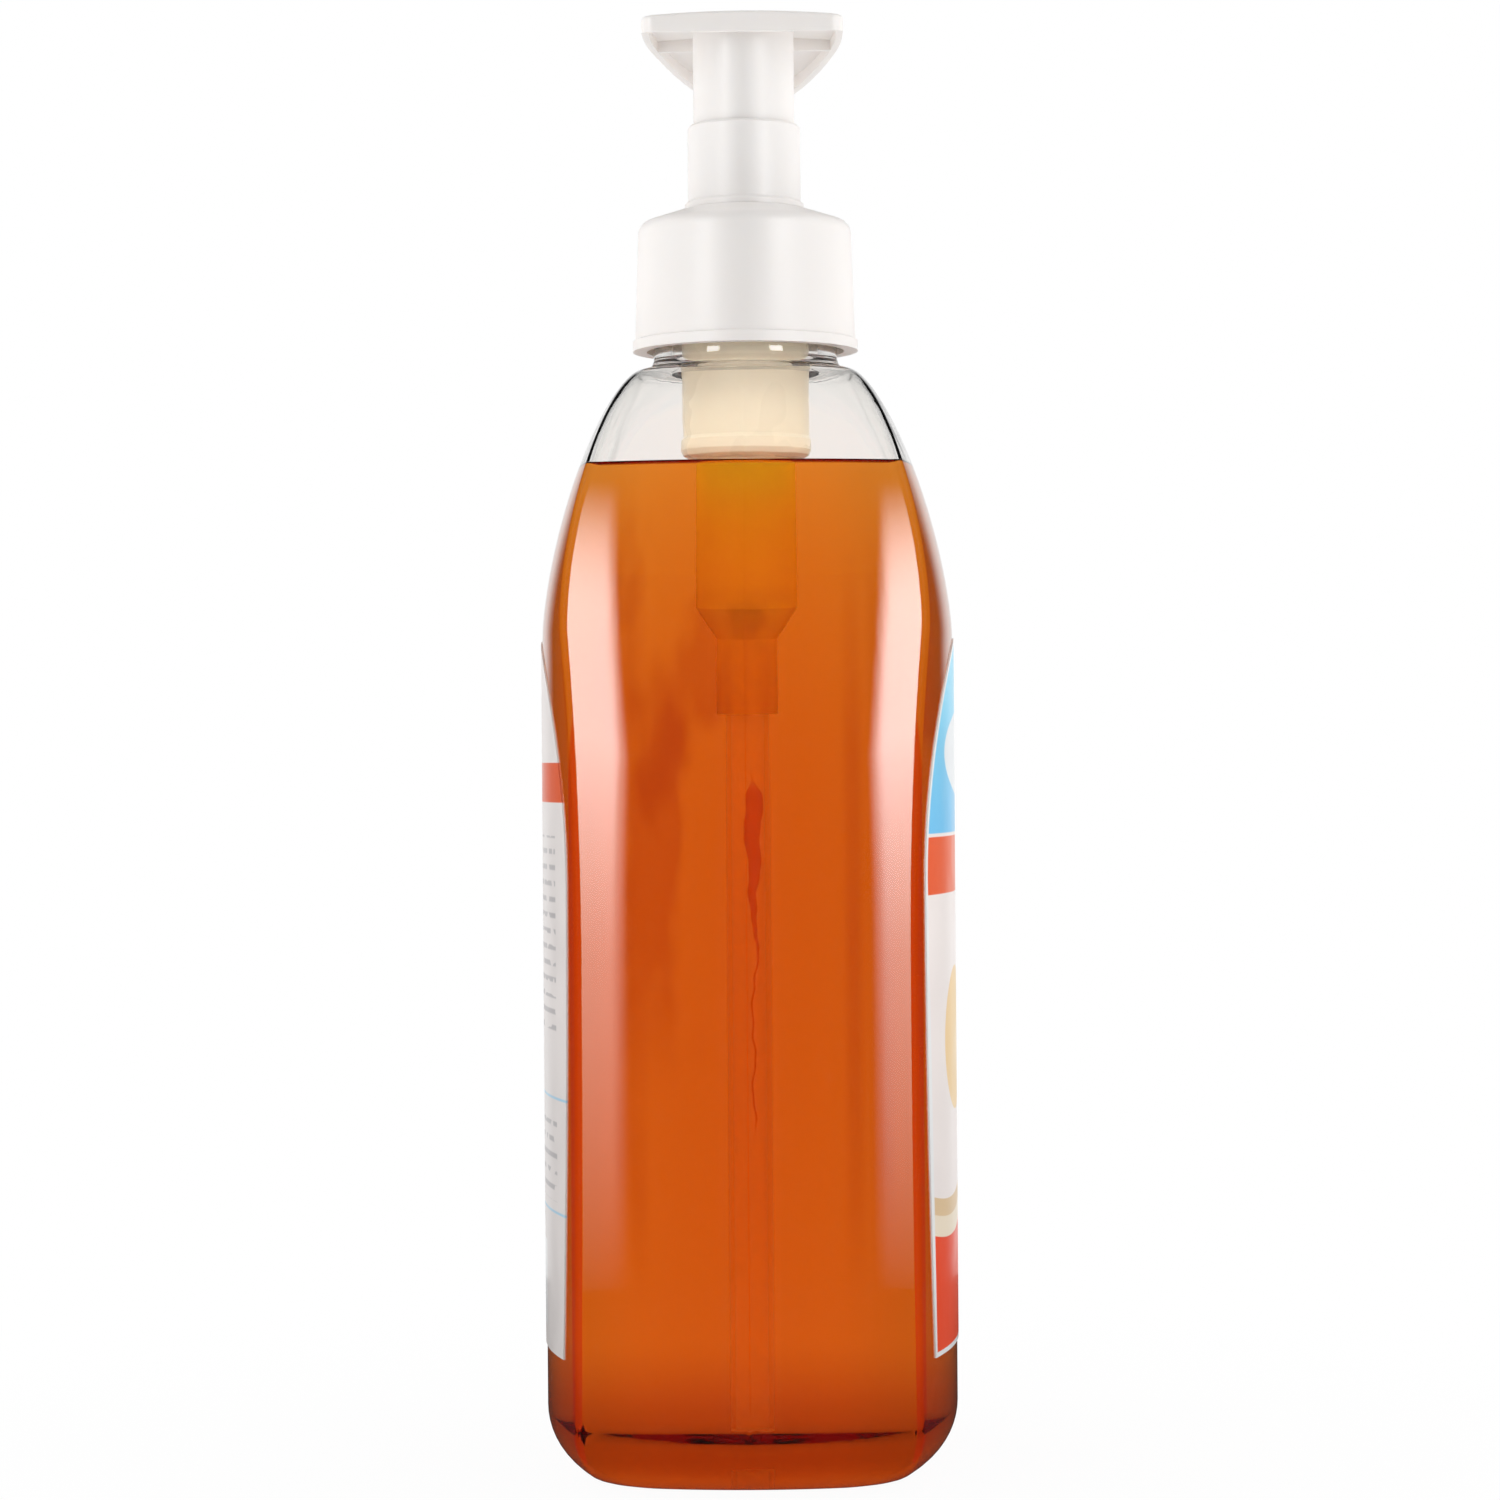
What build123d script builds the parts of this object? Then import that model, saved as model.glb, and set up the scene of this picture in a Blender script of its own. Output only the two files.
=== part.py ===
from build123d import *
import os
from math import asin, atan2, cos, degrees, hypot, radians, sin, sqrt

# A liquid soap bottle with a lotion pump. Millimetres, +Z up.
# The origin is the centre of the base, on the surface that the bottle stands on.
# The front label faces -Y, the back label +Y, and the spout points along +X.

# Blown bottle
bottle_depth = 60.8           # front to back, at the crowns of the two label faces
bottle_width = 75.0           # across the two side panels, at the widest height
widest_height = 75.0          # height at which the side panels are furthest apart
base_narrowing = 1.1          # each side panel leans in by this much down to the base
face_height = 122.0           # the label faces stand upright up to here
shoulder_height = 161.5       # top of the shoulder, where the neck begins
shoulder_radius = 16.0        # radius of the shoulder's top ring
face_radius = 90.0            # plan radius of the label faces
panel_radius = 72.0           # plan radius of the side panels
crease_radius = 2.2           # rounding of the crease between a face and a panel
least_crease = 0.3
shoulder_plan_radius = 17.9   # plan radius that the faces and panels reach at the shoulder's top
shoulder_crease_radius = 13.6
heel_radius = 9.0             # rounding between the walls and the base
heel_softening = 1.5          # the creases' rounding grows by this share of the heel's way in
wall = 0.9                    # thickness of the blown wall
push_up = 2.6                 # height of the hollow under the base
standing_ring = 3.0           # width of the flat ring that the bottle stands on

# How the bottle closes in to its neck: for each size, the power that holds it and the power that ends it
depth_close = (1.5, 0.7)
width_close = (2.2, 0.9)
panel_close = (9.0, 0.7)
face_close = (5.0, 0.7)

# Where the bottle is sectioned, as shares of its upright stretch and of its shoulder
heel_sections = 4
upright_shares = (0, 0.02, 0.06, 0.14, 0.3, 0.5, 0.7, 0.86, 0.95, 1)
shoulder_shares = (0.06, 0.2, 0.38, 0.56, 0.72, 0.86, 0.95, 1)

# Neck and its screw thread
neck_height = 17.7            # from the shoulder's top to the lip
neck_foot_radius = 13.65      # plain band below the thread
neck_foot_height = 4.6
neck_foot_taper = 0.6
neck_step = 0.3               # the neck starts this much inside the shoulder's top ring
lip_chamfer = 0.4
neck_root_radius = 12.55      # neck between the thread's turns
neck_bore_radius = 10.8
thread_pitch = 4.2333
thread_turns = 1.5
thread_drop = 1.8             # plain neck between the thread and the lip
thread_crest_radius = 13.65
thread_root_width = 2.0       # width of a ridge where it leaves its wall
thread_crest_width = 0.8
thread_play = 0.2             # gap between the two threads' flanks
thread_root = 0.15            # how deep a ridge is rooted in its wall

# Closure collar
collar_skirt_depth = 17.9     # below the seat that presses on the pump's flange
collar_bottom_radius = 16.4
collar_top_radius = 15.8
collar_flange_radius = 16.75
collar_flange_height = 1.5
collar_flange_slope = 0.2
collar_bore_radius = 14.65
collar_thread_radius = 12.95  # crest of the collar's inner thread
collar_edge_rise = 1.0        # from the seat up to the dome's edge
collar_edge_radius = 2.0
collar_dome_rise = 3.2        # from the seat up to the hole's rim
collar_hole_radius = 9.05

# Pump housing, seal and suction side
gasket_thickness = 1.0
flange_thickness = 1.2
flange_radius = 12.4
chamber_radius = 9.4          # outside of the wide upper chamber
chamber_band_radius = 9.7     # outside of the band at the chamber's lower end
chamber_band_height = 3.2
chamber_band_slope = 0.5
chamber_foot = 1.2            # rounding of the chamber's lower edge, as two slopes
chamber_length = 31.8         # below the flange's underside
housing_wall = 0.9
barrel_radius = 6.6           # outside of the narrow barrel that the piston runs in
barrel_wall = 0.9
socket_radius = 3.9           # outside of the socket that grips the dip tube
socket_length = 10.5
ball_radius = 2.2
ball_play = 0.5
ball_room = 4.0               # height of the inlet ball's chamber
inlet_floor = 1.35            # between the inlet ball's seat and the top of the socket
inlet_radius = 1.6
cage_thickness = 1.6
cage_slot = 1.0
tube_radius = 2.8
tube_wall = 0.7
tube_floor_gap = 2.4          # between the dip tube's tip and the bottle's floor
tube_cut_angle = 35

# Stem guide, with the chimney that stands above the collar
guide_flange_radius = 11.6
guide_flange_thickness = 1.0
chimney_radius = 8.4
chimney_foot_radius = 8.85
chimney_foot_height = 4.0     # above the collar's seat
chimney_height = 15.7         # above the collar's seat
guide_floor_thickness = 1.4
guide_skirt_length = 3.0      # below the guide's floor
guide_skirt_play = 0.4        # between the guide's skirt and the stem's collar

# Stem, piston and spring
stroke = 11.5
stem_radius = 3.2
stem_bore_radius = 1.9
stem_head_length = 8.0        # stretch of the stem held in the head's socket
spring_collar_radius = 7.3
spring_collar_thickness = 1.4
spring_radius = 6.9           # mean radius of the coil
spring_wire = 1.0
spring_turns = 7.5
piston_length = 7.6
piston_waist = 0.8            # how far the piston is waisted between its lips
piston_lip = 1.2              # length of a lip
seat_flange_radius = 4.4
seat_flange_thickness = 1.8
seat_flange_slope = 1.2
seat_post_length = 12.0
seat_post_flats = 2.5         # across the two flats of the post
port_radius = 0.9             # holes that let the soap into the stem
outlet_ball_radius = 1.9
outlet_play = 0.3
outlet_rim = 0.6              # how far the upper ball's seat stands into the stem's bore
outlet_room = 5.0             # depth of the upper ball's chamber in the stem
stem_drop = 5.0               # from the head's rim down to the stem's top

# Pump head
head_back = 10.0              # from the pump's axis back to the rear wall
head_reach = 37.5             # from the pump's axis out to the spout's tip
head_width = 29.6
tip_width = 6.4
head_height = 3.05            # rear wall, from the rim to the top of the crown
head_crown = 0.67             # how far the top is crowned over its width
head_wall = 1.0
head_corner_radius = 1.8
head_edge = 0.5               # rounding of the edge round the head's top
head_gap = 0.95               # left between the head and the chimney when it is pressed
droop_start = 8.0             # the spout bends down from here
droop_radius = 130.0
post_radius = 7.5
post_wall = 1.0
post_engagement = 7.0         # how deep the post stands in the chimney at rest
socket_wall = 1.2
post_ahead = 1.0              # the channel's cover and the spout start this far ahead of the chimney
spout_radius = 2.4
spout_bore_radius = 1.4
spout_drop = 2.6              # from the head's top down to the middle of the spout's bore
channel_floor = 0.6           # thickness under the channel that leads to the spout
channel_ceiling = 0.2         # added to the head's own wall above it
rib_offset = 7.0              # cross rib under the head, ahead of the pump's axis
rib_thickness = 0.9

# Contents and labels
fill_height = 145.8
fill_gap = 0.15               # between the soap and the bottle's inner wall
label_bottom = 18.4
label_top = 121.6
label_widest_height = 86.0    # the label's arched top starts here
label_half_width = 29.8
label_bottom_half_width = 26.7
label_thickness = 0.12
label_gap = 0.1

# Clearances and edges
edge_break = 0.4              # small chamfer on turned edges
slide_play = 0.2              # the post in the chimney
piston_play = 0.05            # the piston in the barrel
fit_play = 0.02               # pieces pressed into each other
stop_gap = 0.1                # between the stem's collar and the guide that stops it
dip_play = 0.3                # between the pump and the soap round it

# Heights that follow from the sizes above
lip_z = shoulder_height + neck_height
gasket_top = lip_z + gasket_thickness
housing_top = gasket_top + flange_thickness
collar_seat = housing_top + guide_flange_thickness
chimney_top = collar_seat + chimney_height
rim_z = chimney_top + stroke + head_gap
head_top = rim_z + head_height
post_bottom = chimney_top - post_engagement
guide_floor_z = post_bottom - stroke - 3 * slide_play
spring_collar_top = guide_floor_z - guide_floor_thickness - stop_gap
spring_top = spring_collar_top - spring_collar_thickness
chamber_floor_z = gasket_top - chamber_length
spring_seat_z = chamber_floor_z + housing_wall
piston_top = chamber_floor_z - housing_wall
seat_top = piston_top - piston_length
seat_bottom = seat_top - seat_flange_thickness
cage_top = seat_bottom - stroke - slide_play
cage_bottom = cage_top - cage_thickness
ball_seat_z = cage_bottom - ball_room
barrel_bottom = cage_bottom - housing_wall
socket_top = ball_seat_z - inlet_floor
socket_bottom = socket_top - socket_length
socket_bore_radius = tube_radius + fit_play
floor_z = push_up + wall
tube_tip = floor_z + tube_floor_gap
stem_top = rim_z - stem_drop
outlet_seat_z = stem_top - outlet_room
spout_z = head_top - spout_drop
channel_low = rim_z + channel_floor
neck_start_radius = shoulder_radius - neck_step
neck_foot_top = shoulder_height + neck_foot_height
thread_low = lip_z - thread_drop - thread_root_width / 2 - thread_turns * thread_pitch


def turned(*points):
    """Solid turned about the Z axis from (radius, height) points."""
    return revolve(Plane.XZ * make_face(Polyline(*points, close=True)), Axis.Z)


def ring(outer, inner, low, high):
    """Plain ring about the Z axis."""
    return turned((inner, low), (outer, low), (outer, high), (inner, high))


def rod(radius, low, high):
    """Plain cylinder about the Z axis."""
    return Pos(0, 0, low) * Cylinder(radius, high - low, align=(Align.CENTER, Align.CENTER, Align.MIN))


def leaning_in(z, start, body, end, close):
    """A size that holds up to the height start, then closes in to end at the shoulder's top."""
    power, ease = close
    rise = min(max((z - start) / (shoulder_height - start), 0), 1)
    return end + (body - end) * (1 - rise ** power) ** ease


def bottle_section(z, inset, rounding=0.0):
    """Plan of the bottle at height z: two label faces, two side panels and four rounded creases."""
    low_lean = base_narrowing * max(1 - z / widest_height, 0) ** 2
    depth = leaning_in(z, face_height, bottle_depth / 2, shoulder_radius, depth_close) - inset
    width = leaning_in(z, widest_height, bottle_width / 2 - low_lean, shoulder_radius, width_close) - inset
    face = leaning_in(z, face_height, face_radius, shoulder_plan_radius, face_close) - inset
    panel = leaning_in(z, widest_height, panel_radius, shoulder_plan_radius, panel_close) - inset
    crease = leaning_in(z, face_height, crease_radius, shoulder_crease_radius, face_close) - inset
    crease = max(crease, least_crease) + rounding

    # The crease is a circle that touches the face's circle and the panel's circle from inside.
    face_centre, panel_centre = depth - face, width - panel
    span = hypot(face_centre, panel_centre)
    to_face, to_panel = face - crease, panel - crease
    along = (to_face ** 2 - to_panel ** 2 + span ** 2) / (2 * span)
    across = sqrt(to_face ** 2 - along ** 2)
    toward_x, toward_y = panel_centre / span, -face_centre / span
    crease_x = along * toward_x + across * toward_y
    crease_y = face_centre + along * toward_y - across * toward_x
    face_angle = atan2(crease_y - face_centre, crease_x)
    panel_angle = atan2(crease_y, crease_x - panel_centre)
    mid_angle = (face_angle + panel_angle) / 2
    face_end = (face * cos(face_angle), face_centre + face * sin(face_angle))
    crease_mid = (crease_x + crease * cos(mid_angle), crease_y + crease * sin(mid_angle))
    panel_end = (panel_centre + panel * cos(panel_angle), panel * sin(panel_angle))

    # One quarter is worked out and mirrored into the other three.
    quarter = [(0, depth), face_end, crease_mid, panel_end, (width, 0)]
    half = quarter + [(x, -y) for x, y in reversed(quarter[:-1])]
    loop = half + [(-x, y) for x, y in reversed(half[1:-1])]
    loop = [(x, y, z) for x, y in loop[1:] + loop[:1]]
    arcs = [ThreePointArc(*[loop[(i + k) % len(loop)] for k in range(3)]) for i in range(0, len(loop), 2)]
    return Wire(arcs)


def bottle_form(inset, floor):
    """Closed solid of the bottle's body, pulled in by inset, with its base at the height floor."""
    heel = heel_radius - inset
    wires = []
    for step in range(heel_sections):
        turn = radians(90 * (1 - step / heel_sections))
        z = floor + heel * (1 - sin(turn))
        way_in = heel * (1 - cos(turn))
        wires.append(bottle_section(z, inset + way_in, heel_softening * way_in))
    heel_top = floor + heel
    upright = face_height - heel_top
    shoulder = shoulder_height - inset - face_height
    heights = [heel_top + upright * share for share in upright_shares]
    heights += [face_height + shoulder * share for share in shoulder_shares]
    return Solid.make_loft(wires + [bottle_section(z, inset) for z in heights])


def base_hollow(grow):
    """Shallow oval dome under the base, grown by grow for the inside of the floor."""
    edge = heel_radius + standing_ring - grow
    half_width = bottle_width / 2 - base_narrowing - edge
    return scale(Sphere(1), by=(half_width, bottle_depth / 2 - edge, push_up + grow))


def ridge(radius, height, low):
    """Screw ridge on a wall of the given radius, standing out of it by height or, if negative, inside it."""
    path = Helix(thread_pitch, thread_pitch * thread_turns, radius, center=(0, 0, low))
    sunk = thread_root if height > 0 else -thread_root
    profile = Polyline((-sunk, -thread_root_width / 2), (height, -thread_crest_width / 2),
                       (height, thread_crest_width / 2), (-sunk, thread_root_width / 2), close=True)
    section = Plane((radius, 0, low), x_dir=(1, 0, 0), z_dir=(0, -1, 0)) * make_face(profile)
    return sweep(section, path=path, is_frenet=True)


def ridge_half_width(radius, root_radius, crest_radius):
    """Half the axial width of a screw ridge at the given radius."""
    share = (radius - root_radius) / (crest_radius - root_radius)
    return (thread_root_width + (thread_crest_width - thread_root_width) * share) / 2


def bottle():
    """Blown bottle: body, neck, screw thread, cavity and the hollow under the base."""
    foot = neck_start_radius
    blend = foot - neck_foot_radius
    low = shoulder_height - wall
    side = Polyline((neck_foot_radius, shoulder_height + blend), (neck_foot_radius, neck_foot_top),
                    (neck_root_radius, neck_foot_top + neck_foot_taper),
                    (neck_root_radius, lip_z - lip_chamfer), (neck_root_radius - lip_chamfer, lip_z),
                    (0, lip_z), (0, low), (foot, low),
                    (foot, shoulder_height))
    middle = (foot - blend * sqrt(0.5), shoulder_height + blend * (1 - sqrt(0.5)))
    hollow = ThreePointArc((foot, shoulder_height), middle, (neck_foot_radius, shoulder_height + blend))
    neck = revolve(Plane.XZ * make_face([side, hollow]), Axis.Z)
    outside = bottle_form(0, 0) + neck - base_hollow(0)
    inside = bottle_form(wall, wall) - base_hollow(wall) + rod(neck_bore_radius, low - 2 * wall, lip_z)
    return outside - inside + ridge(neck_root_radius, thread_crest_radius - neck_root_radius, thread_low)


def pump_room():
    """Space that the soap leaves free round the pump and its dip tube."""
    p = dip_play
    return turned((0, tube_tip - p), (tube_radius + p, tube_tip - p), (tube_radius + p, socket_bottom - p),
                  (socket_radius + p, socket_bottom - p), (socket_radius + p, socket_top - p),
                  (barrel_radius + p, barrel_bottom - p), (barrel_radius + p, chamber_floor_z - p),
                  (chamber_band_radius + p, chamber_floor_z - p), (chamber_band_radius + p, lip_z),
                  (0, lip_z))


def liquid_soap():
    """The soap: it fills the cavity up to its level, round the pump and the dip tube."""
    skin = wall + fill_gap
    upward = (Align.CENTER, Align.CENTER, Align.MIN)
    above = Pos(0, 0, fill_height) * Box(2 * bottle_width, 2 * bottle_depth, shoulder_height, align=upward)
    return bottle_form(skin, skin) - base_hollow(skin) - above - pump_room()


def label(side):
    """Label on the front face (side -1) or the back face (side 1)."""
    arch = EllipticalCenterArc((0, label_widest_height), label_half_width, label_top - label_widest_height,
                               start_angle=0, arc_size=180)
    right = TangentArc((label_half_width, label_widest_height), (label_bottom_half_width, label_bottom),
                       tangent=(0, -1))
    left = mirror(right, Plane.YZ)
    bottom = Line((-label_bottom_half_width, label_bottom), (label_bottom_half_width, label_bottom))
    outline = extrude(Plane.XZ * make_face([arch, right, left, bottom]), bottle_depth * -side)
    inner = face_radius + label_gap
    skin = ring(inner + label_thickness, inner, label_bottom - 1, label_top + 1)
    return Pos(0, side * (bottle_depth / 2 - face_radius), 0) * skin & outline


def collar():
    """Smooth closure collar: flanged foot, domed top with a hole, and the screw ridge inside."""
    low = collar_seat - collar_skirt_depth
    flange_top = low + collar_flange_height
    edge = (collar_top_radius, collar_seat + collar_edge_rise)
    profile = make_face(Polyline(
        (collar_bore_radius, low), (collar_flange_radius, low), (collar_flange_radius, flange_top),
        (collar_bottom_radius, flange_top + collar_flange_slope), edge,
        (collar_hole_radius, collar_seat + collar_dome_rise),
        (collar_hole_radius, collar_seat), (collar_bore_radius, collar_seat), close=True))
    profile = fillet(profile.vertices().sort_by_distance(edge)[0], collar_edge_radius)
    shell = revolve(Plane.XZ * profile, Axis.Z)
    widths = [ridge_half_width(radius, neck_root_radius, thread_crest_radius)
              + ridge_half_width(radius, collar_bore_radius, collar_thread_radius)
              for radius in (collar_thread_radius, thread_crest_radius)]
    below = max(widths) + thread_play
    return shell + ridge(collar_bore_radius, collar_thread_radius - collar_bore_radius, thread_low - below)


def housing():
    """Pump housing: flange, wide chamber, piston barrel, ball chamber and dip tube socket."""
    chamber_bore = chamber_radius - housing_wall
    barrel_bore = barrel_radius - barrel_wall
    ball_bore = ball_radius + ball_play
    band_top = chamber_floor_z + chamber_band_height
    return turned(
        (flange_radius, housing_top), (flange_radius, gasket_top), (chamber_radius, gasket_top),
        (chamber_radius, band_top), (chamber_band_radius, band_top - chamber_band_slope),
        (chamber_band_radius, chamber_floor_z + chamber_foot),
        (chamber_band_radius - edge_break, chamber_floor_z + edge_break),
        (chamber_band_radius - chamber_foot, chamber_floor_z), (barrel_radius, chamber_floor_z),
        (barrel_radius, barrel_bottom), (socket_radius, socket_top), (socket_radius, socket_bottom),
        (socket_bore_radius, socket_bottom), (socket_bore_radius, socket_top - housing_wall),
        (inlet_radius, socket_top - housing_wall), (inlet_radius, ball_seat_z), (ball_bore, ball_seat_z),
        (ball_bore, cage_bottom), (barrel_bore, cage_bottom), (barrel_bore, spring_seat_z),
        (chamber_bore, spring_seat_z), (chamber_bore, housing_top))


def dip_tube():
    """Straight suction tube, cut at an angle at its tip."""
    tube = ring(tube_radius, tube_radius - tube_wall, tube_tip, socket_top - housing_wall - fit_play)
    block = Box(8 * tube_radius, 8 * tube_radius, 2 * tube_radius)
    return tube - Pos(-tube_radius, 0, tube_tip - tube_radius) * Rot(0, tube_cut_angle, 0) * block


def ball_cage():
    """Disc above the inlet ball, with a cross slot that the soap passes through."""
    disc = rod(barrel_radius - barrel_wall - fit_play, cage_bottom, cage_top)
    slot = Pos(0, 0, cage_bottom) * Box(2 * ball_radius, cage_slot, 3 * cage_thickness)
    return disc - slot - Rot(0, 0, 90) * slot


def inlet_ball():
    """Ball that closes the inlet: it rests on the inlet's rim."""
    above_rim = sqrt(ball_radius ** 2 - inlet_radius ** 2) + fit_play
    return Pos(0, 0, ball_seat_z + above_rim) * Sphere(ball_radius)


def stem_guide():
    """Guide pressed into the housing: skirt, floor that stops the stem, flange and chimney."""
    bore = post_radius + slide_play
    skirt = chamber_radius - housing_wall - fit_play
    skirt_bore = spring_collar_radius + guide_skirt_play
    under = guide_floor_z - guide_floor_thickness
    foot_top = collar_seat + chimney_foot_height
    return turned(
        (bore, chimney_top), (chimney_radius - edge_break, chimney_top),
        (chimney_radius, chimney_top - edge_break), (chimney_radius, foot_top + edge_break),
        (chimney_foot_radius, foot_top), (chimney_foot_radius, collar_seat),
        (guide_flange_radius, collar_seat), (guide_flange_radius, housing_top), (skirt, housing_top),
        (skirt, under - guide_skirt_length), (skirt_bore, under - guide_skirt_length), (skirt_bore, under),
        (stem_radius + slide_play, under), (stem_radius + slide_play, guide_floor_z), (bore, guide_floor_z))


def return_spring():
    """Coil spring between the chamber's floor and the stem's collar."""
    length = spring_top - spring_seat_z - spring_wire
    path = Helix(length / spring_turns, length, spring_radius, center=(0, 0, spring_seat_z + spring_wire / 2))
    return sweep(Plane(path @ 0, z_dir=path % 0) * Circle(spring_wire / 2), path=path, is_frenet=True)


def stem():
    """Hollow stem with the collar that the spring pushes up, two inlet ports and the upper ball's seat."""
    low = seat_top + 2 * fit_play
    ball_bore = outlet_ball_radius + outlet_play
    rim_bore = stem_bore_radius - outlet_rim
    rim_bottom = outlet_seat_z - outlet_rim
    body = turned(
        (stem_bore_radius, low), (stem_radius, low), (stem_radius, spring_top),
        (spring_collar_radius, spring_top), (spring_collar_radius, spring_collar_top),
        (stem_radius, spring_collar_top), (stem_radius, stem_top), (ball_bore, stem_top),
        (ball_bore, outlet_seat_z), (rim_bore, outlet_seat_z), (rim_bore, rim_bottom),
        (stem_bore_radius, rim_bottom))
    port = Pos(0, 0, seat_top + 2 * port_radius) * Rot(90, 0, 0) * Cylinder(port_radius, 4 * stem_radius)
    return body - port


def piston():
    """Soft piston with a sealing lip at each end."""
    bore = stem_radius + piston_play
    lip = barrel_radius - barrel_wall - piston_play
    waist = lip - piston_waist
    low = seat_top + stop_gap
    lip_end = piston_lip + piston_waist
    return turned((bore, low), (lip - edge_break, low), (lip, low + edge_break), (lip, low + piston_lip),
                  (waist, low + lip_end), (waist, piston_top - lip_end), (lip, piston_top - piston_lip),
                  (lip, piston_top - edge_break), (lip - edge_break, piston_top), (bore, piston_top))


def piston_seat():
    """Valve seat under the piston: a flange on a flatted post that is pressed into the stem."""
    edge = seat_flange_radius
    flange = turned((0, seat_bottom), (edge - seat_flange_slope, seat_bottom), (edge, seat_top - edge_break),
                    (edge, seat_top), (0, seat_top))
    post = rod(stem_bore_radius - fit_play, seat_top, seat_top + seat_post_length)
    return flange + (post & Box(seat_post_flats, 4 * stem_bore_radius, 4 * shoulder_height))


def outlet_ball():
    """Upper ball, resting on the rim inside the stem."""
    above_rim = sqrt(outlet_ball_radius ** 2 - (stem_bore_radius - outlet_rim) ** 2) + fit_play
    return Pos(0, 0, outlet_seat_z + above_rim) * Sphere(outlet_ball_radius)


def head_plan(inset):
    """Plan of the pump head: square back, sides that close in as half an ellipse to the spout's tip."""
    back, reach = inset - head_back, head_reach - inset
    half, tip = head_width / 2 - inset, tip_width / 2 - inset
    side_start = head_corner_radius - head_back
    turn = asin(tip / half)
    length = (reach - side_start) / cos(turn)
    start = degrees(turn)
    right = EllipticalCenterArc((side_start, 0), length, half, start_angle=start, arc_size=90 - start)
    left = mirror(right, Plane.XZ)
    rest = [Line(right @ 1, (back, half)), Line((back, half), (back, -half)), Line((back, -half), left @ 1),
            Line(left @ 0, right @ 0)]
    plan = make_face([right, left, *rest])
    corners = plan.vertices().group_by(Axis.X)[0]
    plan = fillet(corners, head_corner_radius - inset)
    return Pos(0, 0, post_bottom) * extrude(plan, 2 * (head_top - post_bottom))


def head_bar(top, low):
    """Bar with a crowned top at the height top, straight over the pump and bent down along the spout."""
    half = head_width / 2 + 1
    crown = ((head_width / 2) ** 2 + head_crown ** 2) / (2 * head_crown)
    edge = top - crown + sqrt(crown ** 2 - half ** 2)
    section = make_face([ThreePointArc((-half, edge), (0, top), (half, edge)),
                         Polyline((half, edge), (half, low), (-half, low), (-half, edge))])
    section = Plane((droop_start, 0, 0), x_dir=(0, 1, 0), z_dir=(1, 0, 0)) * section
    return extrude(section, -(droop_start + head_back + 1)) + bent(section)


def bent(section):
    """Turns a section at the start of the droop along the spout's bend."""
    axis = Axis((droop_start, 0, head_top - droop_radius), (0, 1, 0))
    return revolve(section, axis, degrees(asin((head_reach + 3 - droop_start) / droop_radius)))


def spout(radius):
    """Round bar along the middle of the spout."""
    circle = Plane((droop_start, 0, spout_z), x_dir=(0, 1, 0), z_dir=(1, 0, 0)) * Circle(radius)
    return bent(circle)


def round_top(shell):
    """Rounds the edge round the top of the head's shell."""
    tops = [face for face in shell.faces() if face.normal_at().Z > sin(radians(45))]
    around = [edge for edge in shell.edges() if sum(edge in face.edges() for face in tops) == 1]
    return fillet(around, head_edge)


def actuator_head():
    """Pump head: crowned shell, sliding post, socket for the stem, channel, spout and cross rib."""
    roof = head_top - head_wall
    shell = round_top(head_plan(0) & head_bar(head_top, rim_z))
    cavity = head_plan(head_wall) & head_bar(roof, rim_z - head_height)
    from_pump = (Align.MIN, Align.CENTER, Align.MIN)
    rib = Pos(rib_offset, 0, rim_z) * Box(rib_thickness, head_width, head_height, align=from_pump)
    socket_bore = stem_radius + fit_play
    deck = roof + head_wall / 3
    clear_of_chimney = chimney_radius + post_ahead
    cover_length = clear_of_chimney + post_ahead
    cover = Pos(0, 0, rim_z) * Box(cover_length, 2 * spout_radius, deck - rim_z, align=from_pump)
    ahead = Pos(clear_of_chimney, 0, 0) * Box(2 * head_reach, head_width, 2 * head_top, align=from_pump)
    head = shell - cavity + (rib & cavity) + cover + (spout(spout_radius) & ahead & head_plan(0))
    head += ring(post_radius, post_radius - post_wall, post_bottom, deck)
    head += ring(socket_bore + socket_wall, socket_bore, stem_top - stem_head_length, deck)
    head -= rod(socket_bore, post_bottom, roof - channel_ceiling)
    channel_height = roof - channel_ceiling - channel_low
    channel = Box(cover_length, 2 * spout_bore_radius, channel_height, align=from_pump)
    return head - Pos(0, 0, channel_low) * channel - (spout(spout_bore_radius) & ahead)


parts = {
    "bottle": bottle,
    "liquid_soap": liquid_soap,
    "front_label": lambda: label(-1),
    "back_label": lambda: label(1),
    "neck_gasket": lambda: ring(flange_radius, chamber_radius + fit_play, lip_z, gasket_top),
    "closure_collar": collar,
    "pump_housing": housing,
    "dip_tube": dip_tube,
    "inlet_ball": inlet_ball,
    "ball_cage": ball_cage,
    "stem_guide": stem_guide,
    "return_spring": return_spring,
    "stem": stem,
    "piston": piston,
    "piston_seat": piston_seat,
    "outlet_ball": outlet_ball,
    "actuator_head": actuator_head,
}

os.makedirs("parts", exist_ok=True)
for name, make in parts.items():
    export_step(make(), f"parts/{name}.step")
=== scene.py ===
from math import asin, atan2, cos, exp, hypot, pi, radians, sin, sqrt

import bmesh
import bpy
import numpy as np
from mathutils import Matrix, Vector


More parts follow.
